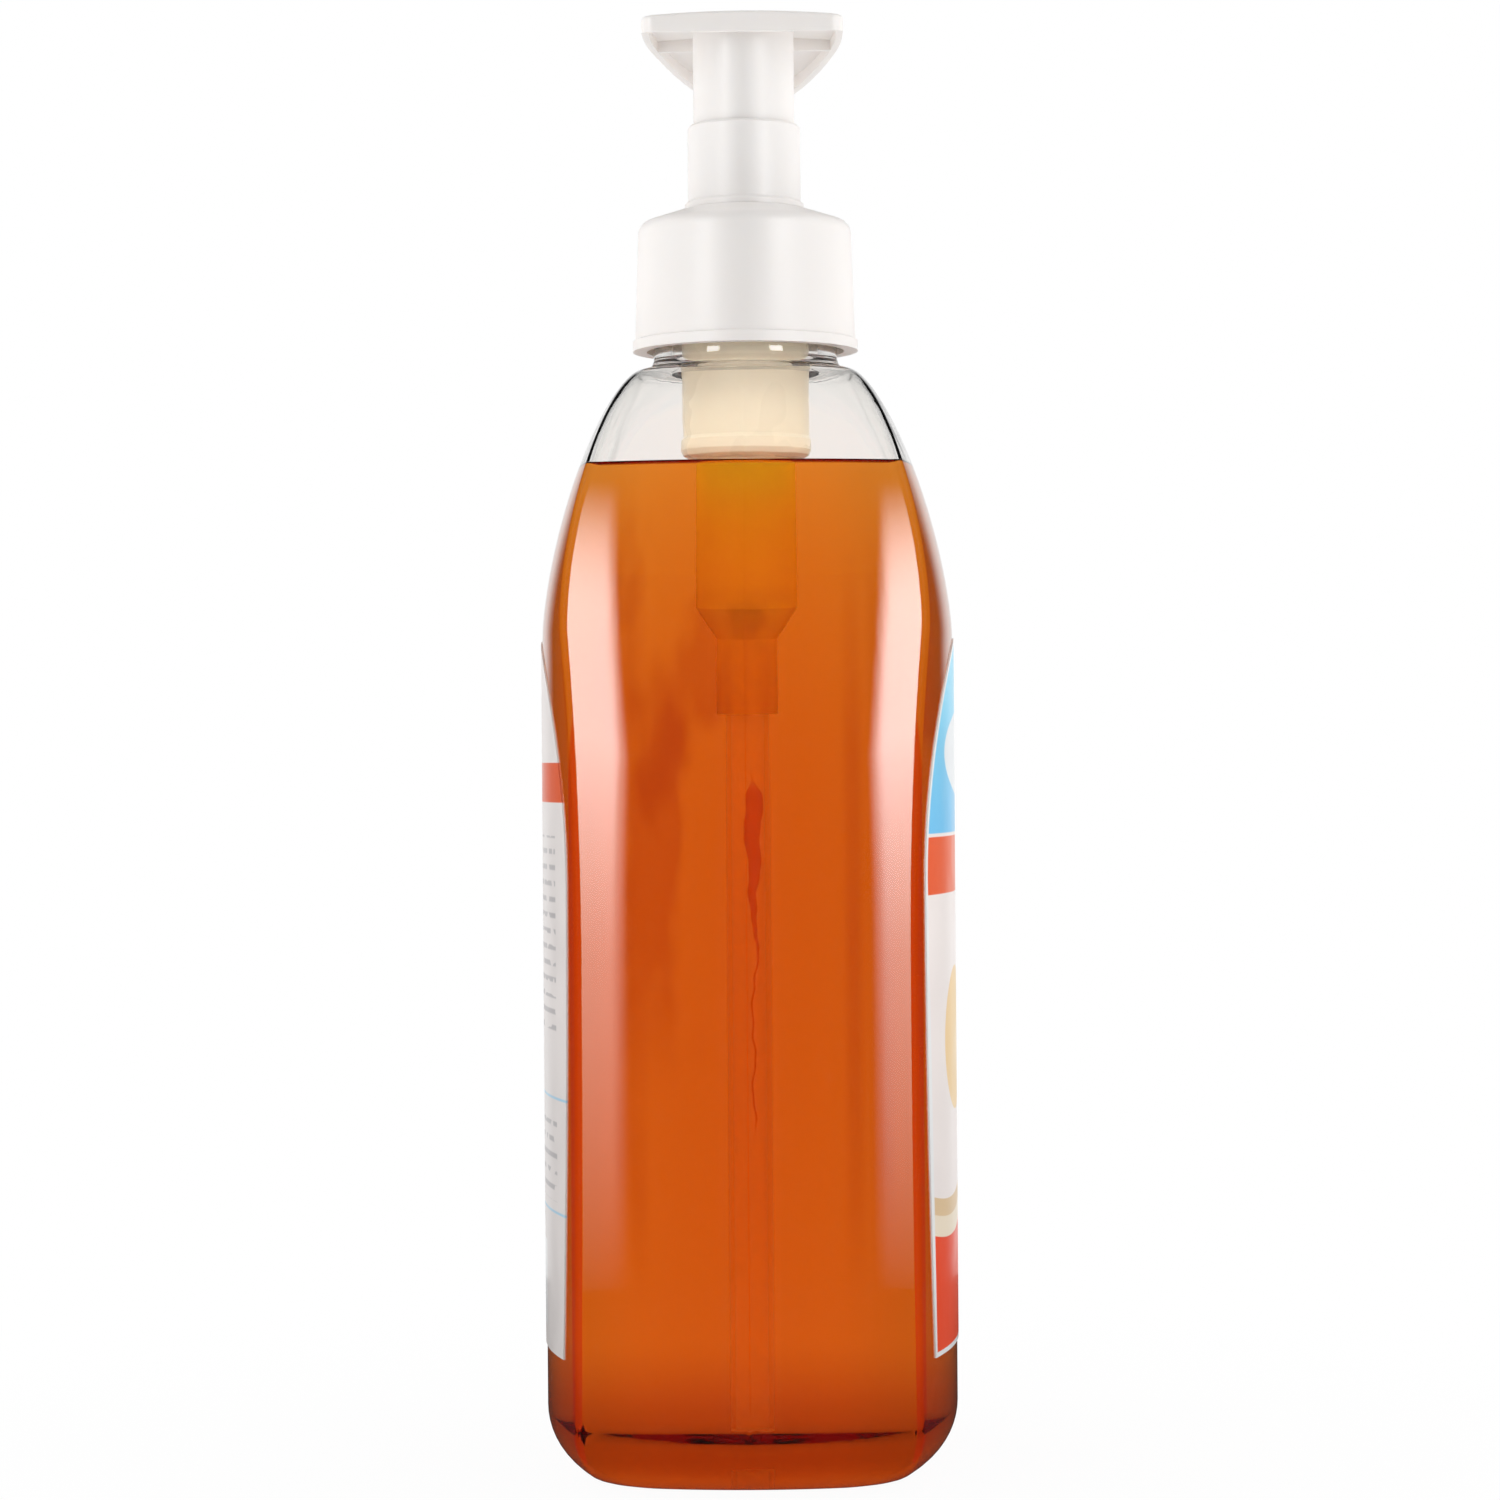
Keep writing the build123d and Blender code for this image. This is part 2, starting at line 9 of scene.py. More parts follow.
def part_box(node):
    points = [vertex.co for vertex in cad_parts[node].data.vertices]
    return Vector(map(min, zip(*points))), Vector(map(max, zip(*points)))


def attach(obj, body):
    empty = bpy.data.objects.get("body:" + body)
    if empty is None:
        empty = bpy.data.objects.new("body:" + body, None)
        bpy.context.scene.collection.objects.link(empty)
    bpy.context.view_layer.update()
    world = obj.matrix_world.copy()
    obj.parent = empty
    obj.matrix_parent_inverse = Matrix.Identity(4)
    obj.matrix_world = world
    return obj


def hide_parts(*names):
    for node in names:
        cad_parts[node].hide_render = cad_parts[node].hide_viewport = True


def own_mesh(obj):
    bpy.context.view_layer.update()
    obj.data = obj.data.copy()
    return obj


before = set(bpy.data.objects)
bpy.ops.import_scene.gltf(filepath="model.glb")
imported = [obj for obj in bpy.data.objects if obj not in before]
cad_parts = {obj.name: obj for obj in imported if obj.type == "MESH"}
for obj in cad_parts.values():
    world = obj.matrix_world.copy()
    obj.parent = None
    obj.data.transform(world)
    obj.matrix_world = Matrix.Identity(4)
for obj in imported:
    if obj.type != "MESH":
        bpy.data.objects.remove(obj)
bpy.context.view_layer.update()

# Form of the blown bottle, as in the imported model
bottle_depth = 0.0608
bottle_width = 0.0750
widest_height = 0.0750
base_narrowing = 0.0011
face_height = 0.1220
shoulder_height = 0.1615
shoulder_radius = 0.0160
face_radius = 0.0900
panel_radius = 0.0720
crease_radius = 0.0022
least_crease = 0.0003
shoulder_plan_radius = 0.0179
shoulder_crease_radius = 0.0136
heel_radius = 0.0090
heel_softening = 1.5
wall = 0.0009
push_up = 0.0026
standing_ring = 0.0030
depth_close = (1.5, 0.7)
width_close = (2.2, 0.9)
panel_close = (9.0, 0.7)
face_close = (5.0, 0.7)

# Neck and screw thread
lip_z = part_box("bottle")[1].z
neck_bore = 0.0108
neck_root = 0.01255
neck_foot = 0.01365
neck_foot_top = shoulder_height + 0.0046
neck_foot_taper = 0.0006
neck_start = shoulder_radius - 0.0003
lip_chamfer = 0.0004
thread_pitch = 0.0042333
thread_turns = 1.5
thread_rise = 0.0011
thread_root_half = 0.0010
thread_crest_half = 0.0004
thread_top_gap = 0.0018
thread_low = lip_z - thread_top_gap - thread_root_half - thread_turns * thread_pitch
thread_run_out = 0.08

# Mould seam up the middle of each side panel
seam_half_width = 0.00035
seam_rise = 0.00005
seam_shoulder = 0.7  # share of the seam's rise that is left halfway down its side

# Points round a quarter of each ring of the bottle, crowded beside the creases by a power
crowding = 1.6
face_points = 26
crease_points = 11
panel_points = 20

# Soap: it wets the wall, so its surface lies inside the plastic by the overlap
fill_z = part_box("liquid_soap")[1].z
soap_overlap = 0.0001
meniscus_rise = 0.0009
meniscus_reach = 0.0012
contact_z = fill_z + meniscus_rise
housing_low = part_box("pump_housing")[0].z
chamber_floor = 0.1484
cling_radius = 0.0074
cling_reach = 0.0030
barrel_radius = 0.0066
barrel_low = 0.1239
socket_radius = 0.0039
socket_top = 0.11945

# How much the clear plastic, the soap, the labels, the wetted pump and the wetted tube bend light
plastic_ior = 1.575
soap_ior = 1.36
film_ior = 1.48
wet_pump_ior = 1.006
wet_tube_ior = 1.012

# How much of the light goes through the wetted pump and the wetted tube
wet_pump_clearness = 0.6
wet_tube_clearness = 0.88

# The soap's colour, and how fast it deepens with the depth that is looked through, per metre
soap_colour = (0.941, 0.65, 0.06, 1)
soap_density = 90.0

# Strength of the white room for the light that reaches the pieces inside the bottle
light_inside = 2.5

# Soft boxes: how far they stand from the object's axis, and their heights, widths and angle
lamp_distance = 0.55
lamp_top = 0.70
strip_foot = -0.06
strip_width = 0.305
strip_azimuth = 41
key_foot = 0.01
key_width = 0.184

# Labels
label_low, label_top = (corner.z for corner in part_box("front_label"))
label_widest_z = 0.0860
label_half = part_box("front_label")[1].x
label_low_half = 0.0267
label_outside = 0.00020
label_sunk = 0.00005
label_tip_angle = radians(88.5)  # how near its tip the arch's last row of points lies

# Heights of the front label's fields and of the back label's band, rows, rules and box
sky_foot = 0.0930
front_band = (0.0843, 0.0925)
plate_middle = (0.0, 0.1045)
plate_half = (0.0190, 0.0062)
wave_heights = (0.0425, 0.0400, 0.0370)
back_band = (0.0978, 0.1035)
row_pitch = 0.0023
row_blocks = ((0.0640, 0.0930), (0.0405, 0.0520))
rule_heights = (0.0552, 0.0388)
rule_width = 0.00035

# Camera: level at the height of the bottle's middle, before the narrow side; its frame is shifted a little
camera_distance = 0.600
camera_height = 0.1034
camera_yaw = radians(1.0)
camera_roll = radians(-0.43)
camera_rise = 12 / 1500
camera_aside = 1.5 / 1500
frame_width_at_axis = 0.2235
sensor = 36.0


def add(tree, kind, inputs=None, **settings):
    """New node with its settings; inputs are values or the sockets that feed them."""
    node = tree.nodes.new(kind)
    for name, value in settings.items():
        setattr(node, name, value)
    for name, value in (inputs or {}).items():
        if isinstance(value, bpy.types.NodeSocket):
            tree.links.new(value, node.inputs[name])
        else:
            node.inputs[name].default_value = value
    return node


def calc(tree, operation, *values):
    """Socket with the result of a Math node."""
    return add(tree, "ShaderNodeMath", dict(enumerate(values)), operation=operation).outputs[0]


def point_of(tree):
    """Socket with a point of the object, in metres."""
    return add(tree, "ShaderNodeTexCoord").outputs["Object"]


def place(tree):
    """Socket with a point of the object, and sockets with its x, y and z."""
    point = point_of(tree)
    split = add(tree, "ShaderNodeSeparateXYZ", {"Vector": point})
    return point, split.outputs["X"], split.outputs["Y"], split.outputs["Z"]


def noise(tree, point, scale, detail=2.0, stretch=(1, 1, 1), roughness=0.5):
    """Noise from 0 to 1 at scale features a metre."""
    spread = add(tree, "ShaderNodeMapping", {"Vector": point, "Scale": stretch})
    sockets = {"Vector": spread.outputs[0], "Scale": scale, "Detail": detail, "Roughness": roughness}
    return add(tree, "ShaderNodeTexNoise", sockets).outputs["Fac"]


def remap(tree, value, low, high, to_low=0.0, to_high=1.0, smooth=True):
    """Value brought from low..high to to_low..to_high, and held there past the ends."""
    sockets = {"Value": value, "From Min": low, "From Max": high, "To Min": to_low, "To Max": to_high}
    kind = "SMOOTHSTEP" if smooth else "LINEAR"
    return add(tree, "ShaderNodeMapRange", sockets, interpolation_type=kind).outputs[0]


def mix(tree, share, first, second):
    """Colour that goes from first to second with share."""
    node = add(tree, "ShaderNodeMix", {"Factor": share}, data_type="RGBA")
    for socket, colour in ((node.inputs[6], first), (node.inputs[7], second)):
        if isinstance(colour, bpy.types.NodeSocket):
            tree.links.new(colour, socket)
        else:
            socket.default_value = (*colour, 1)
    return node.outputs[2]


def bump(tree, height, strength, distance):
    """Normal socket of a bump map."""
    sockets = {"Height": height, "Strength": strength, "Distance": distance}
    return add(tree, "ShaderNodeBump", sockets).outputs[0]


def material(name, **values):
    """New material with a Principled shader; values go on its sockets, with _ for a space."""
    made = bpy.data.materials.new(name)
    made.use_nodes = True
    shader = made.node_tree.nodes["Principled BSDF"]
    for key, value in values.items():
        socket = shader.inputs[key.replace("_", " ")]
        socket.default_value = (*value, 1) if key == "Base_Color" else value
    return made, made.node_tree, shader


def clear_plastic(name, ior, streak, waviness, blotches_and_painted_shade=False):
    """Blown clear plastic with faint upright flow lines, slow waves and fine scuffs, and painted shade: it is
    tinted dark at its base.
    If asked, it also has blotches, uneven dark bands and a red band beside each label as painted shade, and a
    dark red streak down the middle of the panel as painted refraction."""
    made, tree, shader = material(name, IOR=ior, Transmission_Weight=1.0)
    point, x, y, z = place(tree)
    # Painted shade: the plastic is tinted brown-dark below about 16 mm, for the shade at the bottle's foot.
    tint = mix(tree, remap(tree, z, 0.003, 0.016), (0.72, 0.50, 0.36), (0.992, 0.979, 0.957))
    if blotches_and_painted_shade:
        blotch = remap(tree, noise(tree, point, 62, 3.0, stretch=(1, 1, 0.34)), 0.50, 0.60)
        spread = band(tree, z, 0.066, 0.138, 0.012)
        beside = band(tree, y, 0.002, 0.019, 0.004)
        blotch = calc(tree, "MULTIPLY", blotch, calc(tree, "MULTIPLY", spread, beside))
        tint = mix(tree, blotch, tint, (0.76, 0.50, 0.30))
        # Painted shade: uneven dark bands up the panel, 14 to 16 mm out from its middle, where less light
        # comes through the soap.
        painted_dark_bands = calc(tree, "MULTIPLY", band(tree, calc(tree, "ABSOLUTE", y), 0.0140, 0.0162, 0.0008),
                     band(tree, z, 0.035, 0.128, 0.010))
        tint = mix(tree, calc(tree, "MULTIPLY", painted_dark_bands, noise(tree, point, 40, 2.0)), tint, (0.74, 0.45, 0.28))
        # Painted refraction: a dark red drip-shaped streak down the middle of the near panel, where something
        # behind is seen bent through the soap.
        tint = mix(tree, painted_streak_mask(tree, point, x, y, z), tint, (0.66, 0.20, 0.10))
        # Painted shade: a red band on the plastic between each label's edge and the crease, for light that
        # has come a long way through the soap.
        tint = mix(tree, beside_label(tree, x), tint, (0.97, 0.24, 0.08))
    tree.links.new(tint, shader.inputs["Base Color"])
    scuffs = noise(tree, point, 900, 3.0, stretch=(1, 1, 0.12))
    haze = remap(tree, scuffs, 0.66, 0.78, 0.008, 0.12)
    tree.links.new(haze, shader.inputs["Roughness"])
    lines = calc(tree, "MULTIPLY", noise(tree, point, 420, 1.0, stretch=(1, 1, 0.02)), streak)
    waves = calc(tree, "MULTIPLY", noise(tree, point, 75, 1.0, stretch=(1, 1, 0.45)), waviness)
    height = calc(tree, "ADD", lines, waves)
    tree.links.new(bump(tree, height, 1.0, 0.0001), shader.inputs["Normal"])
    return made


def beside_label(tree, x):
    """1 on the label faces between a label's edge and the crease, where a red band of painted shade goes."""
    facing = add(tree, "ShaderNodeNewGeometry").outputs["True Normal"]
    toward_label = calc(tree, "ABSOLUTE", add(tree, "ShaderNodeSeparateXYZ", {"Vector": facing}).outputs["Y"])
    outward = remap(tree, calc(tree, "ABSOLUTE", x), label_half - 0.0004, label_half + 0.0002)
    return calc(tree, "MULTIPLY", outward, calc(tree, "GREATER_THAN", toward_label, 0.6))


def painted_streak_mask(tree, point, x, y, z):
    """1 on a narrow, drip-shaped streak of painted refraction down the middle of the side panel away from the
    spout, and 0 elsewhere.
    """
    sway = noise(tree, point, 110, 2.0, stretch=(0, 0, 1))
    wander = remap(tree, sway, 0.0, 1.0, -0.0008, 0.0032, smooth=False)
    aside = calc(tree, "ABSOLUTE", calc(tree, "ADD", y, wander))
    bulge = calc(tree, "MULTIPLY", remap(tree, z, 0.074, 0.098), remap(tree, z, 0.101, 0.0985))
    half_width = calc(tree, "ADD", 0.00012, calc(tree, "MULTIPLY", bulge, 0.0011))
    within = remap(tree, calc(tree, "SUBTRACT", aside, half_width), -0.00008, 0.00012, 1.0, 0.0)
    along = band(tree, z, 0.052, 0.101, 0.002)
    return calc(tree, "MULTIPLY", calc(tree, "MULTIPLY", within, along), calc(tree, "LESS_THAN", x, 0.0))


def soap():
    """Clear amber liquid: its colour comes from the depth that is looked through.
    Only its free surface bends light, because where it wets plastic the plastic's own skin does."""
    made, tree, shader = material("amber_liquid", Base_Color=(1, 1, 1), Roughness=0.0, IOR=soap_ior,
                                  Transmission_Weight=1.0)
    wetting = add(tree, "ShaderNodeBsdfPrincipled", {"Base Color": (1, 1, 1, 1), "Roughness": 0.0, "IOR": 1.0,
                                                     "Transmission Weight": 1.0})
    z = place(tree)[3]
    facing = add(tree, "ShaderNodeNewGeometry").outputs["True Normal"]
    upward = add(tree, "ShaderNodeSeparateXYZ", {"Vector": facing}).outputs["Z"]
    level_face = calc(tree, "GREATER_THAN", calc(tree, "ABSOLUTE", upward), 0.55)
    at_top = calc(tree, "GREATER_THAN", z, fill_z - soap_overlap)
    free = calc(tree, "MULTIPLY", level_face, at_top)
    both = add(tree, "ShaderNodeMixShader", {0: free, 1: wetting.outputs[0], 2: shader.outputs[0]})
    output = tree.nodes["Material Output"]
    tree.links.new(both.outputs[0], output.inputs["Surface"])
    depth = add(tree, "ShaderNodeVolumeAbsorption", {"Color": soap_colour, "Density": soap_density})
    tree.links.new(depth.outputs[0], output.inputs["Volume"])
    return made


def moulded(name, colour, low_rough, high_rough, subsurface, grain=0.05):
    """Moulded plastic with a fine surface, and gloss that varies a little."""
    made, tree, shader = material(name, Subsurface_Weight=subsurface, Subsurface_Radius=(0.8, 0.7, 0.6),
                                  Subsurface_Scale=0.002, IOR=1.49)
    point = point_of(tree)
    cloud = noise(tree, point, 90, 2.0)
    darker = tuple(0.965 * channel for channel in colour)
    tree.links.new(mix(tree, cloud, darker, colour), shader.inputs["Base Color"])
    tree.links.new(remap(tree, cloud, 0.3, 0.7, low_rough, high_rough), shader.inputs["Roughness"])
    fine = noise(tree, point, 2600, 2.0)
    tree.links.new(bump(tree, fine, grain, 0.0001), shader.inputs["Normal"])
    return made


def wet_below(finish):
    """Milky plastic below the soap's level is painted with the soap's yellow light, darker deeper down, also
    when the pump is lifted out of it.
    """
    tree = finish.node_tree
    dry = tree.nodes["Principled BSDF"]
    in_the_room = add(tree, "ShaderNodeNewGeometry").outputs["Position"]
    z = add(tree, "ShaderNodeSeparateXYZ", {"Vector": in_the_room}).outputs["Z"]
    # Painted light: the soap's yellow light on the wetted plastic, darker deeper down.
    painted_soap_light = mix(tree, remap(tree, z, fill_z - 0.012, fill_z - 0.002), (0.90, 0.80, 0.10), (1.0, 1.0, 0.12))
    wet = add(tree, "ShaderNodeBsdfPrincipled", {"Base Color": painted_soap_light, "Roughness": 0.3, "IOR": wet_pump_ior,
                                                 "Transmission Weight": wet_pump_clearness})
    above = remap(tree, z, fill_z, fill_z + 0.0004)
    both = add(tree, "ShaderNodeMixShader", {0: above, 1: wet.outputs[0], 2: dry.outputs[0]})
    tree.links.new(both.outputs[0], tree.nodes["Material Output"].inputs["Surface"])


def steel(name, roughness):
    """Bright steel with drawn lines."""
    made, tree, shader = material(name, Metallic=1.0)
    point = point_of(tree)
    drawn = noise(tree, point, 1500, 2.0, stretch=(1, 1, 0.3))
    tree.links.new(mix(tree, drawn, (0.50, 0.51, 0.53), (0.66, 0.67, 0.69)), shader.inputs["Base Color"])
    tree.links.new(remap(tree, drawn, 0.2, 0.8, roughness, 2 * roughness), shader.inputs["Roughness"])
    return made


def band(tree, value, low, high, soft=0.00008):
    """1 between low and high, with a soft edge, and 0 outside."""
    above = remap(tree, value, low - soft, low + soft)
    below = remap(tree, value, high - soft, high + soft, 1.0, 0.0)
    return calc(tree, "MULTIPLY", above, below)


def oval_mask(tree, x, z, middle, half_width, half_height, soft=0.02):
    """1 inside an oval about the point middle, and 0 outside."""
    across = calc(tree, "DIVIDE", calc(tree, "SUBTRACT", x, middle[0]), half_width)
    up = calc(tree, "DIVIDE", calc(tree, "SUBTRACT", z, middle[1]), half_height)
    reach = calc(tree, "ADD", calc(tree, "POWER", calc(tree, "ABSOLUTE", across), 2.0),
                 calc(tree, "POWER", calc(tree, "ABSOLUTE", up), 2.0))
    return remap(tree, reach, 1 - soft, 1 + soft, 1.0, 0.0)


def film(name, paint):
    """Printed plastic film; paint builds its colour from the tree and the place."""
    made, tree, shader = material(name, Coat_Weight=0.25, Coat_Roughness=0.12, IOR=film_ior)
    point, x, _, z = place(tree)
    tree.links.new(paint(tree, point, x, z), shader.inputs["Base Color"])
    cloud = noise(tree, point, 120, 2.0)
    tree.links.new(remap(tree, cloud, 0.3, 0.7, 0.30, 0.42), shader.inputs["Roughness"])
    fine = noise(tree, point, 1800, 2.0)
    tree.links.new(bump(tree, fine, 0.06, 0.0001), shader.inputs["Normal"])
    return made


def label_edge(tree, x, z, margin):
    """1 inside the label's outline pulled in by margin, and 0 on its border."""
    half, top = label_half - margin, label_top - margin
    arch = oval_mask(tree, x, z, (0.0, label_widest_z), half, top - label_widest_z, 0.01)
    upper = remap(tree, z, label_widest_z - 0.00001, label_widest_z + 0.00001)
    side = remap(tree, z, label_low, label_widest_z, label_low_half - margin, half, smooth=False)
    within = calc(tree, "LESS_THAN", calc(tree, "ABSOLUTE", x), side)
    over_foot = remap(tree, z, label_low + margin - 0.00005, label_low + margin + 0.00005)
    lower = calc(tree, "MULTIPLY", within, over_foot)
    return add(tree, "ShaderNodeMix", {0: upper, 2: lower, 3: arch}, data_type="FLOAT").outputs[0]


def paint_front(tree, point, x, z):
    """Plain fields of colour: blue above, an orange band, a pale field with discs, a wave and a red foot."""
    sky = mix(tree, remap(tree, z, 0.090, label_top), (0.18, 0.58, 0.92), (0.30, 0.76, 0.97))
    pale = (0.93, 0.85, 0.82)
    orange = mix(tree, remap(tree, x, -label_half, label_half), (0.90, 0.13, 0.04), (0.93, 0.23, 0.06))
    colour = mix(tree, band(tree, z, sky_foot, 0.2), pale, sky)
    plate = oval_mask(tree, x, z, plate_middle, *plate_half)
    colour = mix(tree, plate, colour, (0.84, 0.87, 0.89))
    colour = mix(tree, band(tree, z, *front_band), colour, orange)
    discs = (((-0.0095, 0.0630), 0.0105, (0.93, 0.62, 0.22)), ((0.0085, 0.0675), 0.0078, (0.96, 0.76, 0.42)),
             ((0.0050, 0.0520), 0.0064, (0.90, 0.45, 0.16)))
    for middle, radius, ink in discs:
        disc = oval_mask(tree, x, z, middle, radius, radius)
        colour = mix(tree, calc(tree, "MULTIPLY", disc, 0.8), colour, ink)
    wave = calc(tree, "MULTIPLY", calc(tree, "SINE", calc(tree, "MULTIPLY", x, 95.0)), 0.0022)
    height = calc(tree, "SUBTRACT", z, wave)
    for top, ink in zip(wave_heights, ((0.80, 0.58, 0.34), (0.93, 0.80, 0.62), (0.96, 0.08, 0.02))):
        colour = mix(tree, band(tree, height, 0.0, top), colour, ink)
    return mix(tree, label_edge(tree, x, z, 0.0007), (0.90, 0.90, 0.90), colour)


def paint_back(tree, point, x, z):
    """Off-white field with an orange-red band, grey rows where small print would be, and thin blue rules."""
    colour = (0.80, 0.75, 0.73)
    rows = calc(tree, "FRACT", calc(tree, "MULTIPLY", z, 1 / row_pitch))
    words = noise(tree, point, 260, 0.0, stretch=(1, 0.01, 1.6))
    inked = calc(tree, "MULTIPLY", band(tree, rows, 0.30, 0.62, 0.06), remap(tree, words, 0.40, 0.44))
    column = band(tree, x, -label_half + 0.0060, label_half - 0.0060)
    blocks = calc(tree, "ADD", *(band(tree, z, *heights) for heights in row_blocks))
    inked = calc(tree, "MULTIPLY", inked, calc(tree, "MULTIPLY", column, blocks))
    colour = mix(tree, calc(tree, "MULTIPLY", inked, 0.75), colour, (0.42, 0.40, 0.41))
    colour = mix(tree, band(tree, z, *back_band), colour, (0.76, 0.12, 0.04))
    for rule in rule_heights:
        colour = mix(tree, band(tree, z, rule, rule + rule_width), colour, (0.42, 0.66, 0.82))
    frame_box = calc(tree, "MULTIPLY", band(tree, x, -0.0130, 0.0130), band(tree, z, 0.0215, 0.0340))
    return mix(tree, frame_box, colour, (0.90, 0.90, 0.90))


def film_inside():
    """Inner side of a label, seen through the bottle; its red is painted light."""
    made, tree, shader = material("label_underside", Roughness=0.5, IOR=film_ior)
    point = point_of(tree)
    cloud = noise(tree, point, 60, 2.0)
    # Painted light: the red stands in for the soap-red light that reaches the film through the soap.
    tree.links.new(mix(tree, cloud, (0.90, 0.14, 0.03), (0.96, 0.18, 0.04)), shader.inputs["Base Color"])
    return made


def leaning_in(z, start, body, end, close):
    """A size that holds up to the height start, then closes in to end at the shoulder's top."""
    power, ease = close
    rise = min(max((z - start) / (shoulder_height - start), 0), 1)
    return end + (body - end) * (1 - rise ** power) ** ease


def arc(centre_x, centre_y, radius, angles):
    """Points of a circle at the given angles."""
    return np.column_stack([centre_x + radius * np.cos(angles), centre_y + radius * np.sin(angles)])


def plan(z, inset, rounding=0.0, seam=0.0):
    """Ring of points round the bottle at height z: label faces, side panels, creases and mould seams."""
    low_lean = base_narrowing * max(1 - z / widest_height, 0) ** 2
    depth = leaning_in(z, face_height, bottle_depth / 2, shoulder_radius, depth_close) - inset
    width = leaning_in(z, widest_height, bottle_width / 2 - low_lean, shoulder_radius, width_close) - inset
    face = leaning_in(z, face_height, face_radius, shoulder_plan_radius, face_close) - inset
    panel = leaning_in(z, widest_height, panel_radius, shoulder_plan_radius, panel_close) - inset
    crease = leaning_in(z, face_height, crease_radius, shoulder_crease_radius, face_close) - inset
    crease = max(crease, least_crease) + rounding
    face_centre, panel_centre = depth - face, width - panel
    span = hypot(face_centre, panel_centre)
    to_face, to_panel = face - crease, panel - crease
    along = (to_face ** 2 - to_panel ** 2 + span ** 2) / (2 * span)
    across = sqrt(to_face ** 2 - along ** 2)
    toward_x, toward_y = panel_centre / span, -face_centre / span
    crease_x = along * toward_x + across * toward_y
    crease_y = face_centre + along * toward_y - across * toward_x
    face_angle = atan2(crease_y - face_centre, crease_x)
    panel_angle = atan2(crease_y, crease_x - panel_centre)
    on_face = face_angle + (pi / 2 - face_angle) * np.linspace(1, 0, face_points, endpoint=False) ** crowding
    on_crease = np.linspace(face_angle, panel_angle, crease_points, endpoint=False)
    on_panel = panel_angle * (1 - np.linspace(0, 1, panel_points, endpoint=False) ** crowding)
    by_seam = np.array([seam_half_width, seam_half_width / 2]) / panel
    quarter = np.vstack([arc(0, face_centre, face, on_face), arc(crease_x, crease_y, crease, on_crease),
                         arc(panel_centre, 0, panel, np.append(on_panel, by_seam))])
    quarter[-1, 0] += seam_shoulder * seam
    other = quarter[:0:-1] * (1, -1)
    half = np.vstack([quarter, [(width + seam, 0)], other])
    return np.vstack([half, -half])


def level(points, z):
    """Ring of points at a height."""
    return np.column_stack([points, np.full(len(points), z)])


def turned(radius, z, like):
    """Round ring whose points lie in line with those of another ring."""
    angles = np.arctan2(like[:, 1], like[:, 0])
    return level(arc(0, 0, radius, angles), z)


def base_rings(inset, floor):
    """Rings under the bottle, or on its floor inside: the oval hollow, then the flat it stands on."""
    heel = heel_radius - inset
    edge = heel_radius + standing_ring - floor
    half_width = bottle_width / 2 - base_narrowing - edge
    half_depth = bottle_depth / 2 - edge
    rise = push_up + floor
    like = plan(floor, inset + heel, heel_softening * heel)
    turn = np.arctan2(like[:, 1] / half_depth, like[:, 0] / half_width)
    oval = np.column_stack([half_width * np.cos(turn), half_depth * np.sin(turn)])
    tilts = np.linspace(pi / 2, asin(floor / rise), 24)[1:]
    return [level(oval * cos(tilt), rise * sin(tilt)) for tilt in tilts]


def wall_rings(inset, floor, top, seam=0.0):
    """Rings of the heel and the walls up to the height top, one of them where the soap's edge is."""
    heel = heel_radius - inset
    rings = []
    for turn in np.linspace(pi / 2, 0, 15):
        out = 1 - cos(turn)
        z = floor + heel * (1 - sin(turn))
        rings.append(level(plan(z, inset + heel * out, heel_softening * heel * out), z))
    upright = np.linspace(floor + heel, face_height, 56)[1:]
    leaning = face_height + (top - face_height) * np.sin(np.linspace(0, pi / 2, 64)[1:])
    nearest = np.argmin(np.abs(leaning - contact_z))
    if leaning[nearest] < top:
        leaning[nearest] = contact_z
    for z in [*upright, *leaning]:
        rings.append(level(plan(min(z, top), inset, seam=seam), z))
    return rings


def closed_mesh(name, rings, caps):
    """Mesh of one closed skin through the rings, with a middle point at each end at the heights caps."""
    count = len(rings[0])
    points = np.vstack([*rings, [(0, 0, caps[0])], [(0, 0, caps[1])]])
    first, last = len(points) - 2, len(points) - 1
    faces = [(first, (j + 1) % count, j) for j in range(count)]
    for i in range(len(rings) - 1):
        low, high = i * count, (i + 1) * count
        faces += [(low + j, low + (j + 1) % count, high + (j + 1) % count, high + j) for j in range(count)]
    top = (len(rings) - 1) * count
    faces += [(last, top + j, top + (j + 1) % count) for j in range(count)]
    return smooth_mesh(name, points, faces)


def smooth_mesh(name, points, faces, sharp=radians(38)):
    """Mesh with outward faces, smooth but for edges sharper than the angle."""
    mesh = bpy.data.meshes.new(name)
    mesh.from_pydata([tuple(point) for point in points], [], faces)
    work = bmesh.new()
    work.from_mesh(mesh)
    bmesh.ops.recalc_face_normals(work, faces=work.faces)
    if work.calc_volume(signed=True) < 0:
        bmesh.ops.reverse_faces(work, faces=work.faces)
    work.to_mesh(mesh)
    work.free()
    mesh.shade_smooth()
    mesh.set_sharp_from_angle(angle=sharp)
    return mesh


def seen_directly(tree):
    """1 for a ray straight from the camera or through something clear, and 0 for the rest."""
    path = add(tree, "ShaderNodeLightPath").outputs
    return path, calc(tree, "MAXIMUM", path["Is Camera Ray"], path["Is Transmission Ray"])


def piece(name, mesh, body, nodes, materials):
    """Object that rides a body and stands for CAD nodes."""
    made = bpy.data.objects.new(name, mesh)
    bpy.context.scene.collection.objects.link(made)
    for finish in materials:
        mesh.materials.append(finish)
    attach(made, body)
    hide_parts(*nodes)
    return made


